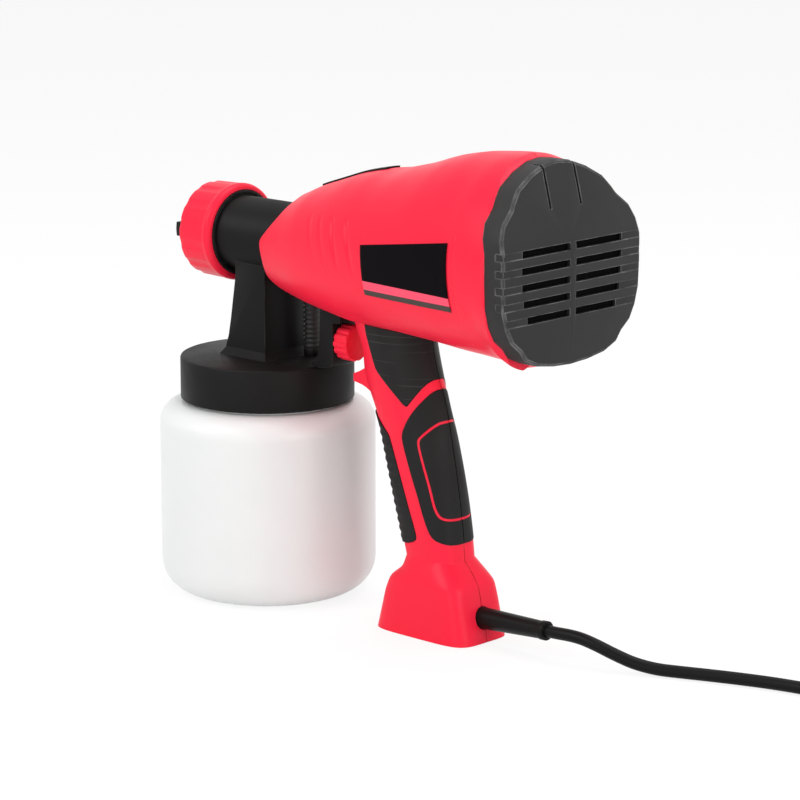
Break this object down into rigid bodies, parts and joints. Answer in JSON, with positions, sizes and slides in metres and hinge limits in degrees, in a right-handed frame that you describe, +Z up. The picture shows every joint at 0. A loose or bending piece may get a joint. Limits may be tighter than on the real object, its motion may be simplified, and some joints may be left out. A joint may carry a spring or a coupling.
{
  "type": "electric paint sprayer",
  "caption": "Hand-held electric paint sprayer with a cup under the barrel, a trigger with a flow knob, a vented motor housing and a mains lead with its plug.",
  "frame": {"origin": "centre of the cup's underside, on the surface that the sprayer stands on", "axes": "+Z up, -X the way that the nozzle points, -Y the sprayer's left side"},
  "size_m": [0.5696, 0.1154, 0.2422],
  "materials": {
    "red_plastic": "satin",
    "black_plastic": "fine grained",
    "panel_plastic": "satin",
    "grip_rubber": "matt",
    "label": "gloss, with plain stripes",
    "steel": "turned",
    "plated_steel": "bright",
    "seal_rubber": "matt",
    "brass": "machined",
    "clear_plastic": "satin",
    "cup_plastic": "translucent satin",
    "hose_rubber": "matt",
    "core_steel": "stacked sheet",
    "copper": "enamelled copper",
    "carbon": "carbon",
    "inner_plastic": "moulded",
    "fan_plastic": "moulded",
    "foam": "open foam",
    "capacitor_case": "dipped",
    "lead_rubber": "satin"
  },
  "bodies": {
    "gun": {"housing_left": "red_plastic", "housing_right": "red_plastic", "rear_cover": "black_plastic", "top_insert": "black_plastic", "upper_panel_left": "panel_plastic", "upper_panel_right": "panel_plastic", "rear_grip_left": "grip_rubber", "rear_grip_right": "grip_rubber", "front_grip_left": "grip_rubber", "front_grip_right": "grip_rubber", "label_plate": "label", "housing_screws": "steel", "spray_head": "black_plastic", "fluid_nozzle": "steel", "needle_packing": "brass", "spring_cap": "black_plastic", "lid_gasket": "seal_rubber", "air_hose": "hose_rubber", "check_valve": "black_plastic", "trigger_pin": "steel", "field_stack": "core_steel", "field_coils": "copper", "brush_holders": "brass", "carbon_brushes": "carbon", "front_bearing": "steel", "rear_bearing": "steel", "motor_bracket": "inner_plastic", "bearing_plate": "inner_plastic", "fan_housing": "inner_plastic", "air_filter": "foam", "switch_body": "inner_plastic", "capacitor": "capacitor_case", "cable_clamp": "inner_plastic", "lead_inside": "lead_rubber", "strain_relief": "lead_rubber", "power_cord": "lead_rubber", "cord_coil": "lead_rubber", "plug_body": "lead_rubber", "plug_pins": "plated_steel"},
    "cup": {"paint_cup": "cup_plastic"},
    "suction_tube": {"dip_tube": "clear_plastic", "strainer": "clear_plastic"},
    "cap_carrier": {"cap_seal": "seal_rubber"},
    "ring": {"ring_nut": "red_plastic"},
    "cap": {"air_cap": "black_plastic"},
    "needle": {"needle": "steel", "needle_spring": "steel"},
    "trigger": {"trigger": "black_plastic"},
    "knob_stem": {"knob_screw": "steel"},
    "knob": {"flow_knob": "red_plastic"},
    "rotor": {"armature": "core_steel", "motor_shaft": "steel", "commutator": "copper", "impeller": "fan_plastic"},
    "plunger": {"switch_plunger": "red_plastic"}
  },
  "joints": [
    {"name": "trigger_pull", "type": "hinge", "parent": "gun", "child": "trigger", "pos_m": [0.052, 0, 0.203], "axis": [0, -1, 0], "range_deg": [0, 5], "stiffness_Nm_per_rad": 4, "springref_deg": -2.29},
    {"name": "needle_draw", "type": "slide", "parent": "gun", "child": "needle", "axis": [1, 0, 0], "range_m": [0, 0.002]},
    {"name": "switch_press", "type": "slide", "parent": "gun", "child": "plunger", "axis": [1, 0, 0], "range_m": [0, 0.0035]},
    {"name": "knob_travel", "type": "slide", "parent": "trigger", "child": "knob_stem", "axis": [1, 0, 0], "range_m": [0, 0.0014]},
    {"name": "knob_turn", "type": "hinge", "parent": "knob_stem", "child": "knob", "pos_m": [0.06, 0, 0.136], "axis": [1, 0, 0], "range_deg": [0, 360]},
    {"name": "ring_travel", "type": "slide", "parent": "gun", "child": "cap_carrier", "axis": [-1, 0, 0], "range_m": [0, 0.0028]},
    {"name": "ring_turn", "type": "hinge", "parent": "cap_carrier", "child": "ring", "pos_m": [-0.03, 0, 0.1826], "axis": [-1, 0, 0], "range_deg": [0, 360]},
    {"name": "cap_turn", "type": "hinge", "parent": "cap_carrier", "child": "cap", "pos_m": [-0.037, 0, 0.1826], "axis": [1, 0, 0], "range_deg": [0, 90]},
    {"name": "cup_off", "type": "slide", "parent": "gun", "child": "cup", "axis": [0, 0, -1], "range_m": [0, 0.125]},
    {"name": "tube_turn", "type": "hinge", "parent": "gun", "child": "suction_tube", "pos_m": [0, 0, 0.118], "axis": [0, 0, 1], "range_deg": [-180, 180]},
    {"name": "rotor_spin", "type": "hinge", "parent": "gun", "child": "rotor", "pos_m": [0.12, 0, 0.192], "axis": [1, 0, 0], "continuous": true}
  ],
  "couplings": [
    {"joint": "needle_draw", "follows": "trigger_pull", "m_per_rad": 0.0204},
    {"joint": "switch_press", "follows": "trigger_pull", "m_per_rad": 0.037},
    {"joint": "knob_turn", "follows": "knob_travel", "rad_per_m": 4188.8},
    {"joint": "ring_turn", "follows": "ring_travel", "rad_per_m": 2094.4}
  ]
}
